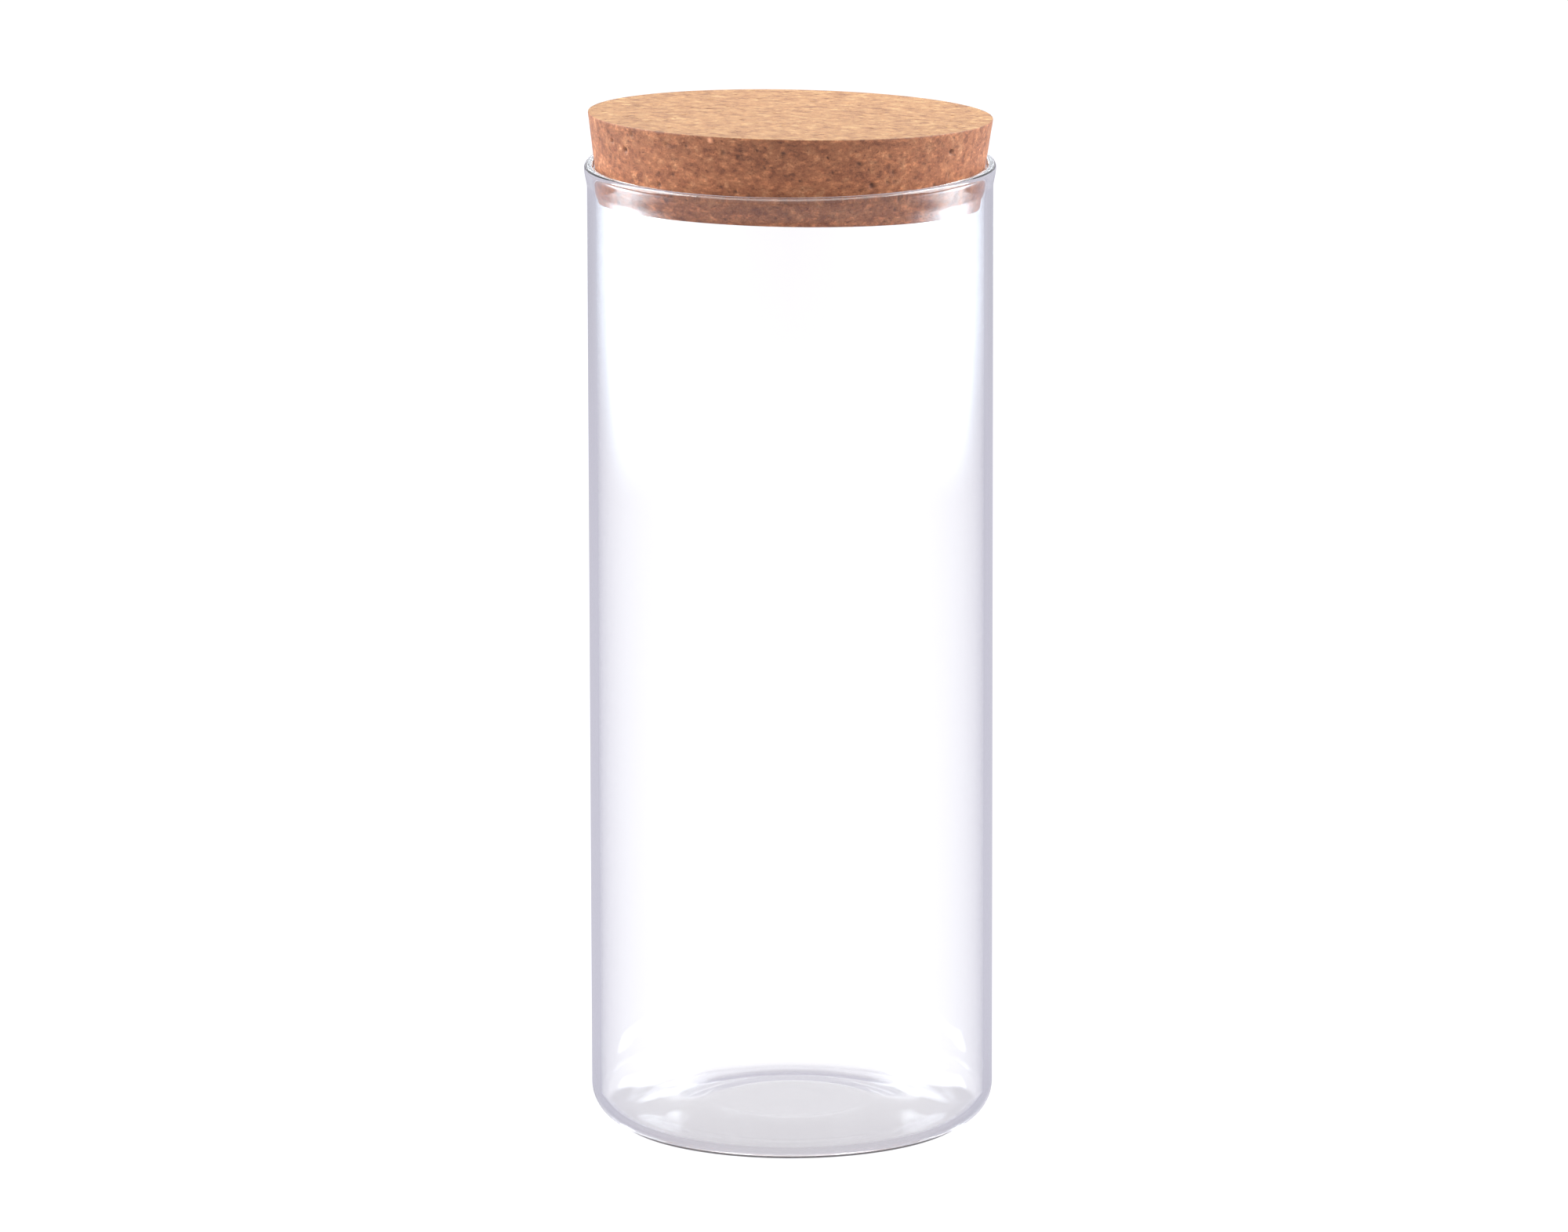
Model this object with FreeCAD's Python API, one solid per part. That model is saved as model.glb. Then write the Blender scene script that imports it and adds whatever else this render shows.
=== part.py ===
"""A straight-sided glass jar with a tapered cork stopper, in millimetres.

The origin is the middle of the foot, on the surface that the jar stands on.
+Z points up, and the front of the jar is towards -Y.
"""
import FreeCAD, Part
import math
import os

# Driving dimensions of the glass
TUBE_R = 50.0            # outside radius of the body, drawn from 100 mm glass tube
WALL = 2.2               # wall of the body, and of the base at the foot ring
LIP_BULGE = 0.7          # how far the fire-polished lip stands proud of the body
LIP_FLARE = 0.4          # how far the bore opens at the lip
LIP_TOP = 241.75         # height of the lip's crest
FLARE_H = 5.0            # height over which the tube opens into the lip
BASE_CORNER_R = 9.0      # outside radius between the wall and the foot
FOOT_IN_R = 36.5         # inner edge of the flat foot ring
PUNT_H = 2.2             # how far the underside is pushed up at its middle
FLOOR_Z = 4.4            # height of the middle of the inside floor
MIDDLE_R = 17.0          # radius of the flat middle of the base, inside and underneath

# Driving dimensions of the cork
STOPPER_H = 21.6         # length of the stopper
STOPPER_PROUD = 13.05    # how much of it is above the widest line of the lip
STOPPER_TAPER = 8.04     # slope of its side, in degrees
STOPPER_EDGE = 0.3       # chamfer of its two rims
SEAT_GAP = 0.16          # radial clearance at the mouth
LEAN_RIGHT = 1.2         # how far the seated stopper leans to +X, in degrees
LEAN_BACK = 2.8          # how far it leans to +Y, in degrees

# Sizes that follow from them
BORE_R = TUBE_R - WALL
LIP_OUT_R = TUBE_R + LIP_BULGE
LIP_IN_R = BORE_R + LIP_FLARE
LIP_ROUND_R = (LIP_OUT_R - LIP_IN_R) / 2
LIP_Z = LIP_TOP - LIP_ROUND_R
CORNER_R = TUBE_R - BASE_CORNER_R

UP = FreeCAD.Vector(0, 0, 1)
CENTRE = FreeCAD.Vector(0, 0, 0)


def at(r, z):
    """A point of a profile, at radius r and height z."""
    return FreeCAD.Vector(r, 0, z)


def line(a, b):
    return Part.LineSegment(at(*a), at(*b)).toShape()


def arc(a, middle, b):
    return Part.Arc(at(*a), at(*middle), at(*b)).toShape()


def corner_arc(centre, radius, start, end):
    """An arc about centre, between two directions in degrees."""
    def on(angle):
        turn = math.radians(angle)
        return centre[0] + radius * math.cos(turn), centre[1] + radius * math.sin(turn)
    return arc(on(start), on((start + end) / 2), on(end))


def upright_s(a, b):
    """Two equal arcs from a to b, upright at both ends."""
    half_r, half_z = (b[0] - a[0]) / 2, (b[1] - a[1]) / 2
    radius = (half_r ** 2 + half_z ** 2) / (2 * half_r)
    turn = math.asin(half_z / radius) / 2
    dr, dz = radius * (1 - math.cos(turn)), radius * math.sin(turn)
    middle = (a[0] + half_r, a[1] + half_z)
    return [arc(a, (a[0] + dr, a[1] + dz), middle), arc(middle, (b[0] - dr, b[1] - dz), b)]


def level_s(a, b):
    """Two equal arcs from a to b, level at both ends."""
    half_r, half_z = (b[0] - a[0]) / 2, (b[1] - a[1]) / 2
    radius = (half_r ** 2 + half_z ** 2) / (2 * half_z)
    turn = math.asin(half_r / radius) / 2
    dr, dz = radius * math.sin(turn), radius * (1 - math.cos(turn))
    middle = (a[0] + half_r, a[1] + half_z)
    return [arc(a, (a[0] + dr, a[1] + dz), middle), arc(middle, (b[0] - dr, b[1] - dz), b)]


def turned(edges):
    """The solid that a closed profile makes when it is turned about Z."""
    face = Part.Face(Part.Wire(edges))
    solid = face.revolve(CENTRE, UP, 360)
    if not solid.isValid() or len(solid.Solids) != 1:
        raise ValueError("the profile doesn't turn into one valid solid")
    return solid.Solids[0]


def jar_outside():
    """From the middle of the underside to the widest line of the lip."""
    return [
        line((0, PUNT_H), (MIDDLE_R, PUNT_H)),
        *level_s((MIDDLE_R, PUNT_H), (FOOT_IN_R, 0)),
        line((FOOT_IN_R, 0), (CORNER_R, 0)),
        corner_arc((CORNER_R, BASE_CORNER_R), BASE_CORNER_R, -90, 0),
        line((TUBE_R, BASE_CORNER_R), (TUBE_R, LIP_Z - FLARE_H)),
        *upright_s((TUBE_R, LIP_Z - FLARE_H), (LIP_OUT_R, LIP_Z)),
    ]


def jar_inside():
    """From the widest line of the lip, down the bore, to the middle of the floor."""
    return [
        *upright_s((LIP_IN_R, LIP_Z), (BORE_R, LIP_Z - FLARE_H)),
        line((BORE_R, LIP_Z - FLARE_H), (BORE_R, BASE_CORNER_R)),
        corner_arc((CORNER_R, BASE_CORNER_R), BASE_CORNER_R - WALL, 0, -90),
        *level_s((CORNER_R, WALL), (MIDDLE_R, FLOOR_Z)),
        line((MIDDLE_R, FLOOR_Z), (0, FLOOR_Z)),
        line((0, FLOOR_Z), (0, PUNT_H)),
    ]


def glass_jar():
    lip_crest = ((LIP_OUT_R + LIP_IN_R) / 2, LIP_TOP)
    lip = arc((LIP_OUT_R, LIP_Z), lip_crest, (LIP_IN_R, LIP_Z))
    return turned([*jar_outside(), lip, *jar_inside()])


def cork_stopper():
    """The tapered stopper, leaning a little in the mouth as it was pushed in."""
    slope = math.tan(math.radians(STOPPER_TAPER))
    seat_r = LIP_IN_R - SEAT_GAP
    top_z = LIP_Z + STOPPER_PROUD
    low_z = top_z - STOPPER_H
    top_r = seat_r + STOPPER_PROUD * slope
    low_r = seat_r - (STOPPER_H - STOPPER_PROUD) * slope
    outline = [
        (0, low_z),
        (low_r - STOPPER_EDGE, low_z),
        (low_r + STOPPER_EDGE * slope, low_z + STOPPER_EDGE),
        (top_r - STOPPER_EDGE * slope, top_z - STOPPER_EDGE),
        (top_r - STOPPER_EDGE, top_z),
        (0, top_z),
    ]
    solid = turned([line(a, b) for a, b in zip(outline, outline[1:] + outline[:1])])

    lean = FreeCAD.Vector(math.tan(math.radians(LEAN_RIGHT)), math.tan(math.radians(LEAN_BACK)), 1)
    turn = FreeCAD.Rotation(UP, lean)
    solid.rotate(at(0, LIP_Z), turn.Axis, math.degrees(turn.Angle))
    # a leaning cone is wider on the side it leans to, so it sits off centre by this much
    solid.translate(FreeCAD.Vector(-lean.x, -lean.y, 0) * seat_r * slope)
    return solid


def main():
    os.makedirs("parts", exist_ok=True)
    nodes = {"glass_jar": glass_jar(), "cork_stopper": cork_stopper()}
    for name, shape in nodes.items():
        shape.exportStep(f"parts/{name}.step")
        box = shape.optimalBoundingBox()
        print(f"{name}: {shape.Volume / 1000:.1f} cm3, x {box.XMin:.2f} to {box.XMax:.2f},"
              f" y {box.YMin:.2f} to {box.YMax:.2f}, z {box.ZMin:.2f} to {box.ZMax:.2f} mm")
    gap, where, _ = nodes["glass_jar"].distToShape(nodes["cork_stopper"])
    overlap = nodes["glass_jar"].common(nodes["cork_stopper"]).Volume
    print(f"gap between the glass and the cork {gap:.3f} mm, overlap {overlap:.4f} mm3")


main()
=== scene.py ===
"""The glass jar with its cork stopper, in metres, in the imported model's own frame.

The glass and the cork are both rebuilt in finer detail than the CAD nodes that they replace.
-Y is the front of the jar, and a bearing is an angle round the jar from the front, positive to +X.
"""
import math
import random

import bpy
import numpy as np
from mathutils import Matrix, Vector, noise


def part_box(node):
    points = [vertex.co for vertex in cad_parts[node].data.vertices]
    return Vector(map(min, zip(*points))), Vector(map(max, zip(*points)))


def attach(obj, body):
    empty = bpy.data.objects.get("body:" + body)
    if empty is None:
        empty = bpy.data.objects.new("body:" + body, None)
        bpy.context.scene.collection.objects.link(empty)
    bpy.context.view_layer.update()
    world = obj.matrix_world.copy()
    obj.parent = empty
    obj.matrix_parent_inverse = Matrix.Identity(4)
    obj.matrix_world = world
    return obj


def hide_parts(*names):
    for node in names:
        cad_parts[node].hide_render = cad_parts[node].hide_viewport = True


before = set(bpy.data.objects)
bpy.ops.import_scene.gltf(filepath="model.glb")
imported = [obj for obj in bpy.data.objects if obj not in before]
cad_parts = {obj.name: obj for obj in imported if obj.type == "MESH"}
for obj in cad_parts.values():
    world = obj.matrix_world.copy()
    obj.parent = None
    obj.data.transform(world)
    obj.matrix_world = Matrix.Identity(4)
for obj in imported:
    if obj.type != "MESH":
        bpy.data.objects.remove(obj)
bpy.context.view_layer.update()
MM = 0.001

# The glass, as in the CAD node: the lip's size and height are read from the frame
GLASS_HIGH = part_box("glass_jar")[1]
LIP_OUT_R = GLASS_HIGH.x
LIP_TOP = GLASS_HIGH.z
WALL = 2.2 * MM
LIP_BULGE = 0.7 * MM
LIP_FLARE = 0.4 * MM
FLARE_H = 5.0 * MM
BASE_CORNER_R = 9.0 * MM
FOOT_IN_R = 36.5 * MM
PUNT_H = 2.2 * MM
FLOOR_Z = 4.4 * MM
MIDDLE_R = 17.0 * MM
TUBE_R = LIP_OUT_R - LIP_BULGE
BORE_R = TUBE_R - WALL
LIP_IN_R = BORE_R + LIP_FLARE
LIP_ROUND_R = (LIP_OUT_R - LIP_IN_R) / 2
LIP_Z = LIP_TOP - LIP_ROUND_R
CORNER_R = TUBE_R - BASE_CORNER_R

# The inside floor, a little uneven from being worked soft: rings that wander, and shallow dents.
# Both fade out over the first stretch from the middle and over the last stretch to the wall.
RING_HEIGHT = 0.006 * MM
RING_STEP = 1.9 * MM     # the radius that turns the rings' wave by one radian
RING_WANDER = 2          # how many radians the wave wanders
WANDER_SCALE = 40
DENT_HEIGHT = 0.02 * MM
DENT_SCALE = 110
FADE_AT_MIDDLE = 6 * MM
FADE_AT_WALL = 8 * MM

# The cork, as in the CAD node
STOPPER_H = 21.6 * MM
STOPPER_PROUD = 13.05 * MM
STOPPER_SLOPE = math.tan(math.radians(8.04))
STOPPER_EDGE = 0.3 * MM
EDGE_ROUNDING = 0.3      # where the ring that rounds an edge is, as a share of STOPPER_EDGE
SEAT_R = LIP_IN_R - 0.16 * MM
LEAN = Vector((math.tan(math.radians(1.2)), math.tan(math.radians(2.8)), 1))

# The pits that show on the cork's front: bearing, height above the lip, radius and depth, in mm
KNOWN_PITS = [
    (-62.0, 8.6, 0.75, 0.8),
    (-63.5, 10.4, 0.45, 0.4),
    (-55.0, 7.0, 0.95, 0.9),
    (53.0, 8.2, 0.95, 0.9),
    (24.5, 1.6, 1.1, 0.8),
    (20.0, 7.0, 0.8, 0.5),
    (-2.0, 9.6, 0.9, 0.5),
    (3.0, 2.8, 0.7, 0.5),
    (-12.0, -1.2, 0.6, 0.4),
]

# The other pits: how many, and the least and most of their radius and depth, in mm
PITS_SEED = 41
SIDE_PITS = 110
SIDE_PIT_R = (0.3, 0.8)
SIDE_PIT_DEPTH = (0.15, 0.6)
SIDE_PIT_MARGIN = 1 * MM     # from the side's two edges
TOP_PITS = 120
UNDER_PITS = 90
FACE_PIT_R = (0.3, 0.9)
FACE_PIT_DEPTH = (0.15, 0.5)
FACE_PITS_WITHIN = 48 * MM

# The pale crumb of cork left standing on the front of its top edge
CRUMB_BEARING = -23.0
CRUMB_R = 1.0 * MM
CRUMB_PROUD = 0.3 * MM
CRUMB_COLOUR = (0.95, 0.42, 0.22)

# The cork's cut surface: how deep its seams and grain are, and how many of each there are to a metre.
# A seam's width is a share of a cell, and SEAM_BEND is how far a finer noise shifts the cells.
SEAM_DEPTH = 0.05 * MM
SEAM_WIDTH = 0.16
SEAM_SCALE = 520
SEAM_BEND = Vector((0.3, 0.7, 0.1))
SEAM_BEND_SCALE = 900
GRAIN_DEPTH = 0.05 * MM
GRAIN_SCALE = 1500

# The glass: its index, and what it lets through as it turns from face on (0) to edge on (1): a grey-violet
# painted shade towards edge on, for the dark edges that glass shows in a studio
GLASS_IOR = 1.47
EDGE_PAINTED_SHADE = [
    (0.20, (1.0, 1.0, 1.0)),
    (0.46, (0.955, 0.952, 0.967)),
    (0.62, (0.92, 0.915, 0.937)),
    (1.0, (0.90, 0.895, 0.92)),
]

# The cork's granules: how many to a metre, how soft their outlines are and how far they wander, their
# tones, and the share and the range of a coarser mottle in those tones. A noise has three numbers: how
# many waves to a metre, its detail and its roughness.
GRANULE_SCALE = 560
GRANULE_SOFTNESS = 0.5
GRANULE_BEND = 0.0018
BEND_NOISE = (0.9 * GRANULE_SCALE, 4, 0.6)
MOTTLE_SHARE = 0.6
MOTTLE_RANGE = (0.3, 0.7)
MOTTLE_NOISE = (0.5 * GRANULE_SCALE, 7, 0.75)
CORK_TONES = [
    (0.15, (0.192, 0.057, 0.021)),
    (0.40, (0.282, 0.095, 0.038)),
    (0.65, (0.332, 0.121, 0.050)),
    (0.90, (0.42, 0.180, 0.083)),
]

# The streaks in the cork: their noise, how much it is squashed, and what they multiply by
STREAK_NOISE = (520, 3, 0.65)
STREAK_SQUASH = (1, 1, 2.3)
STREAK_TONES = [
    (0.30, (0.52, 0.47, 0.44)),
    (0.42, (0.86, 0.84, 0.82)),
    (0.54, (1.0, 1.0, 1.0)),
    (0.66, (1.45, 1.50, 1.52)),
]

# The finest speckle, and what it multiplies by
FINE_NOISE = (5 * GRANULE_SCALE, 3, 0.7)
FINE_TONES = [
    (0.32, (0.72, 0.68, 0.64)),
    (0.50, (1.0, 1.0, 1.0)),
    (0.70, (1.14, 1.16, 1.18)),
]

# The dark flecks: cells of a fine pattern whose own number is above FLECK_PICK, out to FLECK_REACH
FLECK_SCALE = 1.6 * GRANULE_SCALE
FLECK_PICK = (0.86, 0.90)
FLECK_REACH = (0.15, 0.42)
FLECK_STRENGTH = 0.8
FLECK_TONE = (0.42, 0.30, 0.24)
# The pits are painted near black: painted shade in their hollows
PIT_PAINTED_SHADE = (0.07, 0.022, 0.011)

# Painted light on the cork's side, paler low down where light comes up from the table through the glass,
# from 10 mm below the lip to the stopper's top
LOW_SIDE_PAINTED_LIGHT_FROM = LIP_Z - 10 * MM
LOW_SIDE_PAINTED_LIGHT = [
    (0.0, (1.75, 1.70, 1.66)),
    (0.42, (1.24, 1.22, 1.20)),
    (1.0, (0.98, 0.98, 0.98)),
]

# How much paler and yellower the cork's top is painted than its side, a painted sheen of the light on the
# top, how strong the streaks and the speckle are on the side and on the top, and how far up a surface faces
# where the two looks meet
TOP_PAINTED_SHEEN = (1.00, 1.39, 1.33)
STREAKS_BY_FACE = (1.0, 0.45)
SPECKLE_BY_FACE = (0.8, 0.3)
FACING_UP = (0.4, 0.9)

# The cork's finish
CORK_ROUGHNESS = 0.55
CORK_SPECULAR = 0.5
BUMP_STRENGTH = 0.4
BUMP_DEPTH = 0.25 * MM

# How finely the two pieces are built
GLASS_TURNS = 256
UPRIGHT_RINGS = 40
FLARE_RINGS = 10
LIP_RINGS = 20
CORNER_RINGS = 24
INNER_CORNER_RINGS = 20
FOOT_RINGS = 4
PUNT_RINGS = 24
UNDER_MIDDLE_RINGS = 10
SLOPE_RINGS = 48
FLAT_RINGS = 24
CORK_TURNS = 640
CORK_ROWS = 40
CORK_TOP_STEP = 0.6 * MM
CORK_UNDER_STEP = 0.9 * MM
CROWDED = 0.55           # a ring of the cork halves its count below this spacing, in ring steps
FEWEST_TURNS = 20

# The camera and the picture's frame
LENS_F = 7.6824          # focal length over the picture's width
CAMERA_BACK = 2.919
CAMERA_UP = 0.766
CAMERA_PITCH = 0.2154    # radians below level
CAMERA_ROLL = -0.0023
CAMERA_YAW = -0.0006
SENSOR = 36.0
CLIP_NEAR = 0.05
CLIP_FAR = 40

# The table: its size, its colour under the lamps, and its glow. Through the glass, the glow is duller
# in the jar's own shade: a disc as wide as the jar, in front of the backlight's edge, and a smaller
# round core that reaches a little past that edge.
TABLE_R = 14.0
TABLE_DROP = 0.2 * MM
TABLE_TURNS = 96
TABLE_RINGS = 12
TABLE_COLOUR = (0.03, 0.03, 0.03)
TABLE_ROUGHNESS = 0.9
TABLE_SPECULAR = 0.1
TABLE_GLOW = (1.02, 1.015, 1.045)
SHADE_GLOW = (0.63, 0.615, 0.645)
SHADE_R = 0.050
SHADE_SOFT = 0.002
BACKLIGHT_EDGE = 0.0217
SHADE_CORE_AT = (0, 0.006, 0)
SHADE_CORE_R = 0.030

# The thin shadow where the base's rounded corner meets the table, out to this far from the middle.
# Only the lens sees it.
CONTACT_R = 0.0432
CONTACT_SOFT = 0.0003
CONTACT_GLOW = (0.16, 0.15, 0.155)

# What the glass mirrors in the table, by bearing in degrees, to either side. Near the jar, all of the
# table is dim. In a ring far from it, bright panels stand at the two sides: MIRRORED_FAR is multiplied
# by PANEL_RADIANCE. PANELS_AT is how far from the jar the ring begins, is full, is still full and ends.
MIRRORED_NEAR = [
    (0, (0.60, 0.58, 0.62)),
    (40, (0.58, 0.56, 0.61)),
    (80, (0.50, 0.49, 0.57)),
    (115, (0.50, 0.49, 0.57)),
    (180, (0.52, 0.505, 0.59)),
]
PANEL_RADIANCE = 8.0
MIRRORED_FAR = [
    (0, (0.045, 0.035, 0.030)),
    (68, (0.075, 0.075, 0.080)),
    (77, (0.20, 0.22, 0.25)),
    (85, (0.42, 0.48, 0.55)),
    (92, (0.68, 0.82, 0.92)),
    (98, (0.98, 1.18, 1.32)),
    (104, (1.12, 1.33, 1.46)),
    (112, (0.80, 0.98, 1.08)),
    (120, (0.44, 0.52, 0.59)),
    (127, (0.16, 0.19, 0.22)),
    (136, (0.085, 0.09, 0.105)),
    (150, (0.066, 0.065, 0.074)),
    (180, (0.056, 0.055, 0.064)),
]
PANELS_AT = (0.80, 1.15, 1.42, 1.52)

# The studio's light from all round: dim in front, nearly white behind, with the change over this
# much of a direction's part along Y. The lens sees the table's glow there instead, with or without
# the glass in between.
SKY_FRONT = (0.75, 0.75, 0.76)
SKY_BACK = (0.90, 0.89, 0.93)
SKY_TURN = 0.7

# The wide lamp overhead that only the glass mirrors, and the heights of direction between which it
# fades in
OVERHEAD_GLOW = (6.0, 5.9, 5.8)
OVERHEAD_FADE = (0.55, 0.80)

# The lamps: name, bearing, distance, height, size, radiance and colour, and the height they aim at
WHITE = (1, 1, 1)
SIDE_LIGHT = (0.92, 1.0, 1.05)
LAMPS = [
    ("overhead", 180, 0.5, 1.7, (1.6, 1.6), 0.8, WHITE),
    ("left", -100, 0.8, 0.72, (0.64, 0.84), 10.6, SIDE_LIGHT),
    ("right", 100, 0.8, 0.72, (0.64, 0.84), 9.9, SIDE_LIGHT),
]
LAMP_AIM = 0.13

# How often light may bounce: light that runs down inside the glass wall needs many
MOST_BOUNCES = 256
MOST_TRANSMISSIONS = 32


# ---------------------------------------------------------------- meshes
def mesh_piece(name, points, faces, smooth=True):
    mesh = bpy.data.meshes.new(name)
    mesh.from_pydata([tuple(p) for p in points], [], faces)
    mesh.update()
    mesh.polygons.foreach_set("use_smooth", [smooth] * len(mesh.polygons))
    piece = bpy.data.objects.new(name, mesh)
    bpy.context.scene.collection.objects.link(piece)
    return piece


def round_jar(r, turn, z):
    """The point at radius r, height z and a bearing of turn radians."""
    return r * math.sin(turn), -r * math.cos(turn), z


def arc(centre, radius, start, end, steps):
    """Points on an arc of a profile, from start to end in degrees, without the first."""
    angles = [math.radians(start + (end - start) * k / steps) for k in range(1, steps + 1)]
    return [(centre[0] + radius * math.cos(a), centre[1] + radius * math.sin(a)) for a in angles]


def run(a, b, steps):
    """Points on a straight stretch of a profile, without the first."""
    return [(a[0] + (b[0] - a[0]) * k / steps, a[1] + (b[1] - a[1]) * k / steps)
            for k in range(1, steps + 1)]


def ease(t):
    return t * t * (3 - 2 * t)


def s_curve(a, b, steps, level):
    """Points on an S from a to b, level or upright at both ends, without the first."""
    made = []
    for k in range(1, steps + 1):
        t = k / steps
        across, along = (t, ease(t)) if level else (ease(t), t)
        made.append((a[0] + (b[0] - a[0]) * across, a[1] + (b[1] - a[1]) * along))
    return made


# ---------------------------------------------------------------- the glass
def glass_profile():
    """(radius, height) from the middle of the underside, round the lip, to the middle of the floor."""
    corner = (CORNER_R, BASE_CORNER_R)
    flare_z = LIP_Z - FLARE_H
    return [
        (0, PUNT_H),
        *run((0, PUNT_H), (MIDDLE_R, PUNT_H), UNDER_MIDDLE_RINGS),
        *s_curve((MIDDLE_R, PUNT_H), (FOOT_IN_R, 0), PUNT_RINGS, level=True),
        *run((FOOT_IN_R, 0), (CORNER_R, 0), FOOT_RINGS),
        *arc(corner, BASE_CORNER_R, -90, 0, CORNER_RINGS),
        *run((TUBE_R, BASE_CORNER_R), (TUBE_R, flare_z), UPRIGHT_RINGS),
        *s_curve((TUBE_R, flare_z), (LIP_OUT_R, LIP_Z), FLARE_RINGS, level=False),
        *arc(((LIP_OUT_R + LIP_IN_R) / 2, LIP_Z), LIP_ROUND_R, 0, 180, LIP_RINGS),
        *s_curve((LIP_IN_R, LIP_Z), (BORE_R, flare_z), FLARE_RINGS, level=False),
        *run((BORE_R, flare_z), (BORE_R, BASE_CORNER_R), UPRIGHT_RINGS),
        *arc(corner, BASE_CORNER_R - WALL, 0, -90, INNER_CORNER_RINGS),
        *s_curve((CORNER_R, WALL), (MIDDLE_R, FLOOR_Z), SLOPE_RINGS, level=True),
        *run((MIDDLE_R, FLOOR_Z), (0, FLOOR_Z), FLAT_RINGS),
    ]


def hand_worked(x, y, z):
    """How far the inside floor is off true, from working it soft: faint rings and dents."""
    r = math.hypot(x, y)
    wander = RING_WANDER * noise.noise(Vector((x, y, 0)) * WANDER_SCALE)
    rings = RING_HEIGHT * math.sin(r / RING_STEP + wander)
    dents = DENT_HEIGHT * noise.noise(Vector((x, y, z)) * DENT_SCALE)
    from_middle = ease(min(1.0, r / FADE_AT_MIDDLE))
    from_wall = ease(min(1.0, max(0.0, (CORNER_R - r) / FADE_AT_WALL)))
    return (rings + dents) * (from_middle * from_wall)


def glass_points(profile):
    """The profile turned about Z, and where each of its rings starts in that list of points."""
    inner_floor = len(profile) - SLOPE_RINGS - FLAT_RINGS
    points, starts = [], []
    for index, (r, z) in enumerate(profile):
        starts.append(len(points))
        if index == 0 or index == len(profile) - 1:
            points.append((0, 0, z))
            continue
        for k in range(GLASS_TURNS):
            x, y, _ = round_jar(r, 2 * math.pi * k / GLASS_TURNS, z)
            lift = hand_worked(x, y, z) if index >= inner_floor else 0.0
            points.append((x, y, z + lift))
    return points, starts


def glass_piece():
    profile = glass_profile()
    points, starts = glass_points(profile)
    faces = []
    for index, (low, high) in enumerate(zip(starts, starts[1:])):
        for k in range(GLASS_TURNS):
            after = (k + 1) % GLASS_TURNS
            if index == 0:
                faces.append((low, high + after, high + k))
            elif index == len(profile) - 2:
                faces.append((low + k, low + after, high))
            else:
                faces.append((low + k, low + after, high + after, high + k))
    return mesh_piece("jar_glass", points, faces)


# ---------------------------------------------------------------- the cork
def disc_rings(radius, z, step):
    """Rings (radius, height, count) from a rim inwards, halving their count where points crowd."""
    made, count, r = [], CORK_TURNS, radius
    while r > step:
        made.append((r, z, count))
        r -= step
        if 2 * math.pi * r / count < CROWDED * step and count > FEWEST_TURNS:
            count //= 2
    return made


def cork_rings(top_z, low_z):
    """Rings (radius, height, count) over the upright stopper, from its top's middle down.

    Every ring has its own count, so that the points stay about evenly spaced near the middle.
    """
    top_r = SEAT_R + top_z * STOPPER_SLOPE
    low_r = SEAT_R + low_z * STOPPER_SLOPE
    edge_in, edge_down = EDGE_ROUNDING * STOPPER_EDGE, EDGE_ROUNDING / 2 * STOPPER_EDGE
    rings = disc_rings(top_r - STOPPER_EDGE, top_z, CORK_TOP_STEP)[::-1]
    rings.append((top_r - edge_in, top_z - edge_down, CORK_TURNS))
    for k in range(CORK_ROWS + 1):
        z = top_z - STOPPER_EDGE - (STOPPER_H - 2 * STOPPER_EDGE) * (k / CORK_ROWS)
        rings.append((SEAT_R + z * STOPPER_SLOPE, z, CORK_TURNS))
    rings.append((low_r - edge_in, low_z + edge_down, CORK_TURNS))
    rings.extend(disc_rings(low_r - STOPPER_EDGE, low_z, CORK_UNDER_STEP))
    return rings


def stitch(faces, a, count_a, b, count_b):
    """Faces between two rings whose counts are equal, or one twice the other. b follows a downwards."""
    if count_a == count_b:
        for k in range(count_a):
            n = (k + 1) % count_a
            faces.append((a + k, b + k, b + n, a + n))
    elif count_b == 2 * count_a:
        for k in range(count_a):
            n = (k + 1) % count_a
            b0, b1, b2 = b + 2 * k, b + 2 * k + 1, b + (2 * k + 2) % count_b
            faces.extend([(a + k, b0, b1), (a + k, b1, a + n), (a + n, b1, b2)])
    elif count_a == 2 * count_b:
        for k in range(count_b):
            n = (k + 1) % count_b
            a0, a1, a2 = a + 2 * k, a + 2 * k + 1, a + (2 * k + 2) % count_a
            faces.extend([(b + k, a1, a0), (b + k, b + n, a1), (b + n, a2, a1)])
    else:
        raise ValueError(f"rings of {count_a} and {count_b} points don't meet")


def cork_points(rings, top_z, low_z):
    """The upright stopper's points, the way out of the cork at each, and where each ring starts."""
    side = Vector((1, 0, -STOPPER_SLOPE)).normalized()
    points = [(0.0, 0.0, top_z)]
    outward = [(0.0, 0.0, 1.0)]
    starts = []
    for r, z, count in rings:
        starts.append(len(points))
        for k in range(count):
            turn = 2 * math.pi * k / count
            points.append(round_jar(r, turn, z))
            if z == top_z:
                outward.append((0.0, 0.0, 1.0))
            elif z == low_z:
                outward.append((0.0, 0.0, -1.0))
            else:
                outward.append(round_jar(side.x, turn, side.z))
    points.append((0.0, 0.0, low_z))
    outward.append((0.0, 0.0, -1.0))
    return np.array(points), np.array(outward), starts


def cork_faces(rings, starts, last_point):
    counts = [count for _, _, count in rings]
    faces = [(0, starts[0] + k, starts[0] + (k + 1) % counts[0]) for k in range(counts[0])]
    for i in range(len(rings) - 1):
        stitch(faces, starts[i], counts[i], starts[i + 1], counts[i + 1])
    last, many = starts[-1], counts[-1]
    faces.extend((last + (k + 1) % many, last + k, last_point) for k in range(many))
    return faces


def on_side(bearing, z):
    """A point of the upright stopper's side, at a bearing in degrees."""
    return Vector(round_jar(SEAT_R + z * STOPPER_SLOPE, math.radians(bearing), z))


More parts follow.
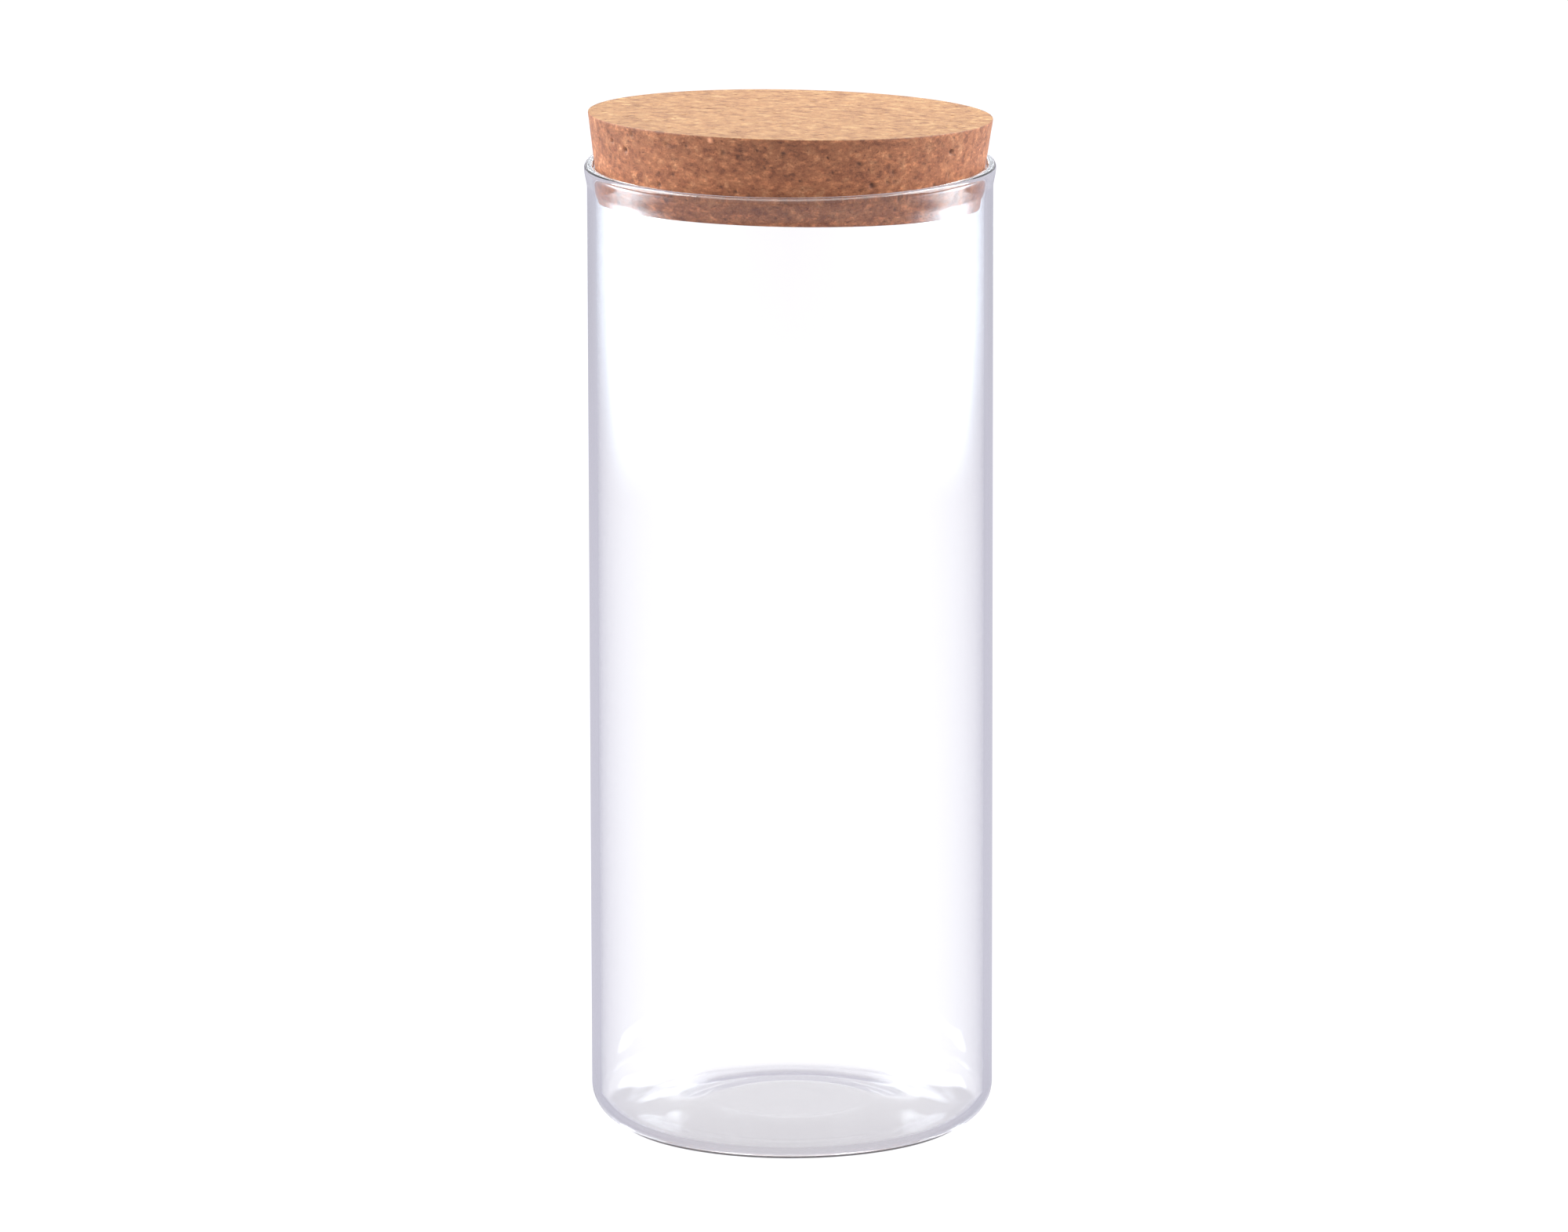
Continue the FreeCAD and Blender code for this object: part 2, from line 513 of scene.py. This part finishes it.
def cork_pits(top_z, low_z):
    """(centre, radius, depth) of the cork's pits, in the stopper's own upright frame.

    The pale crumb on its top edge is one of them, with a depth below zero.
    """
    rng = random.Random(PITS_SEED)
    pits = [(on_side(bearing, z * MM), r * MM, depth * MM) for bearing, z, r, depth in KNOWN_PITS]
    pits.append((on_side(CRUMB_BEARING, top_z - CRUMB_R), CRUMB_R, -CRUMB_PROUD))
    for _ in range(SIDE_PITS):
        z = rng.uniform(low_z + SIDE_PIT_MARGIN, top_z - SIDE_PIT_MARGIN)
        centre = on_side(rng.uniform(0, 360), z)
        pits.append((centre, rng.uniform(*SIDE_PIT_R) * MM, rng.uniform(*SIDE_PIT_DEPTH) * MM))
    for z, many in ((top_z, TOP_PITS), (low_z, UNDER_PITS)):
        for _ in range(many):
            r = FACE_PITS_WITHIN * math.sqrt(rng.random())
            centre = Vector(round_jar(r, math.radians(rng.uniform(0, 360)), z))
            pits.append((centre, rng.uniform(*FACE_PIT_R) * MM, rng.uniform(*FACE_PIT_DEPTH) * MM))
    return pits


def cut_surface(point):
    """How far the cork's cut surface is sunk at a point, in its seams and its grain."""
    bend = SEAM_BEND * noise.noise(point * SEAM_BEND_SCALE)
    near, _ = noise.voronoi(point * SEAM_SCALE + bend)
    seam = max(0.0, 1 - (near[1] - near[0]) / SEAM_WIDTH)
    grain = 0.5 + 0.5 * noise.noise(point * GRAIN_SCALE)
    return SEAM_DEPTH * seam + GRAIN_DEPTH * grain


def cork_relief(points, pits):
    """How far each point is sunk into the cork, and how dark (painted shade in a pit) or pale (the crumb) it
    is there, 0 to 1.
    """
    sunk = np.array([cut_surface(Vector(p)) for p in points])
    dark = np.zeros(len(points))
    pale = np.zeros(len(points))
    for centre, radius, depth in pits:
        far = np.linalg.norm(points - np.array(centre), axis=1)
        shape = ease(np.clip(1 - far / radius, 0, 1))
        sunk += depth * shape
        if depth > 0:
            dark = np.maximum(dark, shape)
        else:
            pale = np.maximum(pale, shape)
    return sunk, dark, pale


def cork_piece():
    """The stopper: built upright with its pits, then leaned and set in the mouth as the CAD node is."""
    top_z = STOPPER_PROUD
    low_z = top_z - STOPPER_H
    rings = cork_rings(top_z, low_z)
    points, outward, starts = cork_points(rings, top_z, low_z)
    faces = cork_faces(rings, starts, len(points) - 1)
    sunk, dark, pale = cork_relief(points, cork_pits(top_z, low_z))
    points = points - outward * sunk[:, None]

    turn = Vector((0, 0, 1)).rotation_difference(LEAN).to_matrix()
    offset = Vector((-LEAN.x, -LEAN.y, 0)) * SEAT_R * STOPPER_SLOPE + Vector((0, 0, LIP_Z))
    points = points @ np.array(turn).T + np.array(offset)
    piece = mesh_piece("stopper_cork", points, faces)
    for name, values in (("pit", dark), ("crumb", pale)):
        shade = piece.data.attributes.new(name, "FLOAT", "POINT")
        shade.data.foreach_set("value", values.astype(np.float32))
    return piece


# ---------------------------------------------------------------- materials
class Nodes:
    """A node tree in the making. A value that is fed to a socket is a number, a tuple or a socket."""

    def __init__(self, tree):
        self.tree = tree
        tree.nodes.clear()

    def add(self, kind, **settings):
        node = self.tree.nodes.new(kind)
        for key, value in settings.items():
            setattr(node, key, value)
        return node

    def feed(self, socket, value):
        if isinstance(value, bpy.types.NodeSocket):
            self.tree.links.new(value, socket)
        elif isinstance(value, tuple) and len(value) < len(socket.default_value):
            socket.default_value = (*value, 1)
        else:
            socket.default_value = value

    def fed(self, kind, inputs, **settings):
        """A new node with its named or numbered inputs fed."""
        node = self.add(kind, **settings)
        for key, value in inputs.items():
            self.feed(node.inputs[key], value)
        return node

    def maths(self, operation, a, b=0.0, clamp=False):
        node = self.fed("ShaderNodeMath", {0: a, 1: b}, operation=operation, use_clamp=clamp)
        return node.outputs["Value"]

    def vector(self, operation, *values):
        return self.fed("ShaderNodeVectorMath", dict(enumerate(values)), operation=operation).outputs

    def parts(self, vector):
        """The outputs X, Y and Z of a vector."""
        return self.fed("ShaderNodeSeparateXYZ", {"Vector": vector}).outputs

    def mix(self, factor, a, b, way="MIX"):
        """Colour a where the factor is 0, and b, or b laid over a in another way, where it is 1."""
        node = self.fed("ShaderNodeMix", {}, data_type="RGBA", blend_type=way)
        for socket, value in zip((node.inputs["Factor"], node.inputs[6], node.inputs[7]), (factor, a, b)):
            self.feed(socket, value)
        return node.outputs[2]

    def eased(self, value, start, end, at_start=0.0, at_end=1.0):
        """at_start on one side of the stretch from start to end, at_end on the other, eased between."""
        if start > end:
            start, end, at_start, at_end = end, start, at_end, at_start
        limits = {"From Min": start, "From Max": end, "To Min": at_start, "To Max": at_end}
        node = self.fed("ShaderNodeMapRange", limits, interpolation_type="SMOOTHSTEP")
        self.feed(node.inputs["Value"], value)
        return node.outputs["Result"]

    def ramp(self, value, stops):
        node = self.fed("ShaderNodeValToRGB", {"Fac": value})
        elements = node.color_ramp.elements
        for element, (place, colour) in zip(elements, (stops[0], stops[-1])):
            element.position = place
            element.color = (*colour, 1)
        for place, colour in stops[1:-1]:
            elements.new(place).color = (*colour, 1)
        return node.outputs["Color"]

    def noise(self, scale, detail, roughness, where):
        inputs = {"Scale": scale, "Detail": detail, "Roughness": roughness, "Vector": where}
        return self.fed("ShaderNodeTexNoise", inputs).outputs

    def mirrored(self, ray):
        """1 for light that smooth glass mirrored on its way, 0 for all other light."""
        return self.maths("MULTIPLY", ray["Glossy Depth"], ray["Is Singular Ray"], clamp=True)


def new_material(name):
    """A material, its nodes, and the inputs of its surface."""
    material = bpy.data.materials.new(name)
    material.use_nodes = True
    nodes = Nodes(material.node_tree)
    surface = nodes.add("ShaderNodeBsdfPrincipled")
    nodes.fed("ShaderNodeOutputMaterial", {"Surface": surface.outputs["BSDF"]})
    return material, nodes, surface.inputs


def glass_material():
    """Clear glass, with a grey-violet painted shade where it is seen nearly edge on."""
    material, nodes, surface = new_material("clear_borosilicate")
    facing = nodes.fed("ShaderNodeLayerWeight", {"Blend": 0.5}).outputs["Facing"]
    nodes.feed(surface["Base Color"], nodes.ramp(facing, EDGE_PAINTED_SHADE))
    nodes.feed(surface["Roughness"], 0.0)
    nodes.feed(surface["IOR"], GLASS_IOR)
    nodes.feed(surface["Transmission Weight"], 1.0)
    return material


def granule_colour(nodes, where, bent):
    """Cells of a bent pattern, each of its own tone, blurred by a coarser mottle."""
    inputs = {"Scale": GRANULE_SCALE, "Smoothness": GRANULE_SOFTNESS, "Vector": bent}
    cells = nodes.fed("ShaderNodeTexVoronoi", inputs, feature="SMOOTH_F1")
    own = nodes.fed("ShaderNodeSeparateColor", {"Color": cells.outputs["Color"]}).outputs["Red"]
    mottle = nodes.eased(nodes.noise(*MOTTLE_NOISE, where)["Fac"], *MOTTLE_RANGE)
    tone = nodes.fed("ShaderNodeMix", {"Factor": MOTTLE_SHARE, 2: own, 3: mottle}, data_type="FLOAT")
    return nodes.ramp(tone.outputs["Result"], CORK_TONES)


def fleck_strength(nodes, squashed):
    """How strong the dark flecks are: the middles of a few cells, picked by the cells' own numbers."""
    cells = nodes.fed("ShaderNodeTexVoronoi", {"Scale": FLECK_SCALE, "Vector": squashed}).outputs
    own = nodes.fed("ShaderNodeSeparateColor", {"Color": cells["Color"]}).outputs["Green"]
    picked = nodes.eased(own, *FLECK_PICK)
    return nodes.maths("MULTIPLY", picked, nodes.eased(cells["Distance"], *FLECK_REACH, FLECK_STRENGTH, 0.0))


def low_side_painted_light(nodes, where):
    """Painted light: the side is paler low down, where light comes up from the table through the glass."""
    limits = {"From Min": LOW_SIDE_PAINTED_LIGHT_FROM, "From Max": LIP_Z + STOPPER_PROUD, "Value": nodes.parts(where)["Z"]}
    height = nodes.fed("ShaderNodeMapRange", limits).outputs["Result"]
    return nodes.ramp(height, LOW_SIDE_PAINTED_LIGHT)


def cork_material():
    """Granules of cork pressed together: mottled, with streaks, fine speckle, dark flecks and open pits,
    with painted shade in the pits, painted light low on the side and a painted sheen on the top.
    """
    material, nodes, surface = new_material("agglomerated_cork")
    coords = nodes.add("ShaderNodeTexCoord").outputs
    where = coords["Object"]
    up = nodes.parts(coords["Normal"])["Z"]
    bend = nodes.noise(*BEND_NOISE, where)["Color"]
    bent = nodes.vector("MULTIPLY_ADD", bend, (GRANULE_BEND,) * 3, where)["Vector"]
    squashed = nodes.vector("MULTIPLY", bent, STREAK_SQUASH)["Vector"]
    streaks = nodes.ramp(nodes.noise(*STREAK_NOISE, squashed)["Fac"], STREAK_TONES)
    fine = nodes.noise(*FINE_NOISE, where)["Fac"]

    def multiplied(factor, colour, tone):
        return nodes.mix(factor, colour, tone, "MULTIPLY")

    colour = granule_colour(nodes, where, bent)
    colour = multiplied(nodes.eased(up, *FACING_UP, *STREAKS_BY_FACE), colour, streaks)
    colour = multiplied(nodes.eased(up, *FACING_UP, *SPECKLE_BY_FACE), colour, nodes.ramp(fine, FINE_TONES))
    colour = multiplied(fleck_strength(nodes, squashed), colour, FLECK_TONE)
    # painted light: the side is made paler low down
    colour = multiplied(1.0, colour, low_side_painted_light(nodes, where))
    # painted sheen: the upward-facing top is made paler and yellower
    colour = multiplied(nodes.eased(up, *FACING_UP), colour, TOP_PAINTED_SHEEN)
    # painted shade in the pits, and the pale crumb's own colour
    for name, tone in (("pit", PIT_PAINTED_SHADE), ("crumb", CRUMB_COLOUR)):
        shade = nodes.add("ShaderNodeAttribute", attribute_name=name)
        colour = nodes.mix(shade.outputs["Fac"], colour, tone)

    nodes.feed(surface["Base Color"], colour)
    bump = nodes.fed("ShaderNodeBump", {"Strength": BUMP_STRENGTH, "Distance": BUMP_DEPTH, "Height": fine})
    nodes.feed(surface["Normal"], bump.outputs["Normal"])
    nodes.feed(surface["Roughness"], CORK_ROUGHNESS)
    nodes.feed(surface["Specular IOR Level"], CORK_SPECULAR)
    return material


def jar_shade(nodes, where, reach):
    """1 on the part of the table that the jar's shade dulls, 0 elsewhere."""
    def disc(distance, radius):
        return nodes.eased(distance, radius + SHADE_SOFT, radius - SHADE_SOFT)

    before = disc(nodes.parts(where)["Y"], BACKLIGHT_EDGE)
    core = disc(nodes.vector("DISTANCE", where, SHADE_CORE_AT)["Value"], SHADE_CORE_R)
    return nodes.maths("MULTIPLY", disc(reach, SHADE_R), nodes.maths("MAXIMUM", before, core))


def mirrored_table(nodes, where, reach):
    """What the glass mirrors in the table: dim near the jar, with a panel at each side farther out."""
    parts = nodes.parts(where)
    bearing = nodes.maths("ARCTAN2", parts["X"], nodes.maths("MULTIPLY", parts["Y"], -1.0))
    turn = nodes.maths("DIVIDE", nodes.maths("ABSOLUTE", bearing), math.pi)
    near = nodes.ramp(turn, [(degrees / 180, colour) for degrees, colour in MIRRORED_NEAR])
    far = nodes.ramp(turn, [(degrees / 180, colour) for degrees, colour in MIRRORED_FAR])
    panels = nodes.vector("MULTIPLY", far, (PANEL_RADIANCE,) * 3)["Vector"]
    begins, full, still_full, ends = PANELS_AT
    ring = nodes.maths("MULTIPLY", nodes.eased(reach, begins, full), nodes.eased(reach, ends, still_full))
    return nodes.mix(ring, near, panels)


def table_material():
    """A white light table: white to the lens, but duller through the glass in the jar's own shade.

    The lens also sees a thin contact shadow where the base meets it. In a studio, dark cards and bright
    panels stand round a jar so that its edges show; here the glow itself differs for what the glass
    mirrors, so the glass gets the same edges and strips of light.
    """
    material, nodes, surface = new_material("white_table")
    where = nodes.add("ShaderNodeTexCoord").outputs["Object"]
    ray = nodes.add("ShaderNodeLightPath").outputs
    reach = nodes.vector("LENGTH", where)["Value"]

    through = nodes.maths("MULTIPLY", jar_shade(nodes, where, reach), ray["Is Transmission Ray"])
    contact = nodes.eased(reach, CONTACT_R + CONTACT_SOFT, CONTACT_R - CONTACT_SOFT)
    open_contact = nodes.maths("MULTIPLY", contact, ray["Is Camera Ray"])
    seen = nodes.mix(open_contact, nodes.mix(through, TABLE_GLOW, SHADE_GLOW), CONTACT_GLOW)
    glow = nodes.mix(nodes.mirrored(ray), seen, mirrored_table(nodes, where, reach))

    nodes.feed(surface["Emission Color"], glow)
    nodes.feed(surface["Emission Strength"], 1.0)
    nodes.feed(surface["Base Color"], TABLE_COLOUR)
    nodes.feed(surface["Roughness"], TABLE_ROUGHNESS)
    nodes.feed(surface["Specular IOR Level"], TABLE_SPECULAR)
    return material


# ---------------------------------------------------------------- stage
def table_piece():
    """A round table, with its rings closer together near the jar."""
    points, faces = [(0, 0, -TABLE_DROP)], []
    for ring in range(1, TABLE_RINGS + 1):
        r = TABLE_R * (ring / TABLE_RINGS) ** 2
        points.extend(round_jar(r, 2 * math.pi * k / TABLE_TURNS, -TABLE_DROP) for k in range(TABLE_TURNS))
    for k in range(TABLE_TURNS):
        faces.append((0, 1 + k, 1 + (k + 1) % TABLE_TURNS))
    for ring in range(TABLE_RINGS - 1):
        a = 1 + ring * TABLE_TURNS
        b = a + TABLE_TURNS
        for k in range(TABLE_TURNS):
            n = (k + 1) % TABLE_TURNS
            faces.append((a + k, b + k, b + n, a + n))
    table = mesh_piece("floor", points, faces, smooth=False)
    table.data.materials.append(table_material())


def softbox(name, bearing, distance, height, size, radiance, colour):
    """A rectangular light of that radiance, on a bearing in degrees round the jar, facing the jar."""
    light = bpy.data.lights.new(name, "AREA")
    light.shape = "RECTANGLE"
    light.size, light.size_y = size
    light.energy = radiance * math.pi * size[0] * size[1]
    light.color = colour
    lamp = bpy.data.objects.new(name, light)
    lamp.location = round_jar(distance, math.radians(bearing), height)
    towards = Vector((0, 0, LAMP_AIM)) - lamp.location
    lamp.rotation_mode = "QUATERNION"
    lamp.rotation_quaternion = towards.to_track_quat("-Z", "Y")
    bpy.context.scene.collection.objects.link(lamp)


def sky():
    """The studio's light, the overhead glow that the glass mirrors, and the white backdrop."""
    world = bpy.data.worlds.new("studio")
    world.use_nodes = True
    nodes = Nodes(world.node_tree)
    towards = nodes.parts(nodes.add("ShaderNodeTexCoord").outputs["Generated"])
    ray = nodes.add("ShaderNodeLightPath").outputs
    around = nodes.mix(nodes.eased(towards["Y"], -SKY_TURN, SKY_TURN), SKY_FRONT, SKY_BACK)
    above = nodes.eased(towards["Z"], *OVERHEAD_FADE)
    lit = nodes.mix(nodes.maths("MULTIPLY", nodes.mirrored(ray), above), around, OVERHEAD_GLOW)
    direct = nodes.maths("MAXIMUM", ray["Is Camera Ray"], ray["Is Transmission Ray"])
    light = nodes.fed("ShaderNodeBackground", {"Color": nodes.mix(direct, lit, TABLE_GLOW)})
    nodes.fed("ShaderNodeOutputWorld", {"Surface": light.outputs["Background"]})
    return world


def studio():
    for lamp in LAMPS:
        softbox(*lamp)
    scene = bpy.context.scene
    scene.world = sky()
    scene.cycles.max_bounces = MOST_BOUNCES
    scene.cycles.glossy_bounces = MOST_BOUNCES
    scene.cycles.transmission_bounces = MOST_TRANSMISSIONS
    scene.view_settings.view_transform = "Standard"


def camera():
    data = bpy.data.cameras.new("camera")
    data.sensor_width = SENSOR
    data.lens = LENS_F * SENSOR
    data.clip_start = CLIP_NEAR
    data.clip_end = CLIP_FAR
    cam = bpy.data.objects.new("camera", data)
    forward = Vector((math.sin(CAMERA_YAW) * math.cos(CAMERA_PITCH),
                      math.cos(CAMERA_YAW) * math.cos(CAMERA_PITCH), -math.sin(CAMERA_PITCH)))
    right = Vector((math.cos(CAMERA_YAW), -math.sin(CAMERA_YAW), 0))
    up = right.cross(forward)
    rolled = math.cos(CAMERA_ROLL) * right + math.sin(CAMERA_ROLL) * up
    upright = -math.sin(CAMERA_ROLL) * right + math.cos(CAMERA_ROLL) * up
    cam.matrix_world = Matrix.Translation((0, -CAMERA_BACK, CAMERA_UP)) @ Matrix(
        (rolled, upright, -forward)).transposed().to_4x4()
    bpy.context.scene.collection.objects.link(cam)
    bpy.context.scene.camera = cam


def main():
    glass = glass_piece()
    glass.data.materials.append(glass_material())
    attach(glass, "jar")
    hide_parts("glass_jar")

    cork = cork_piece()
    cork.data.materials.append(cork_material())
    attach(cork, "stopper")
    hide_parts("cork_stopper")

    table_piece()
    studio()
    camera()


main()
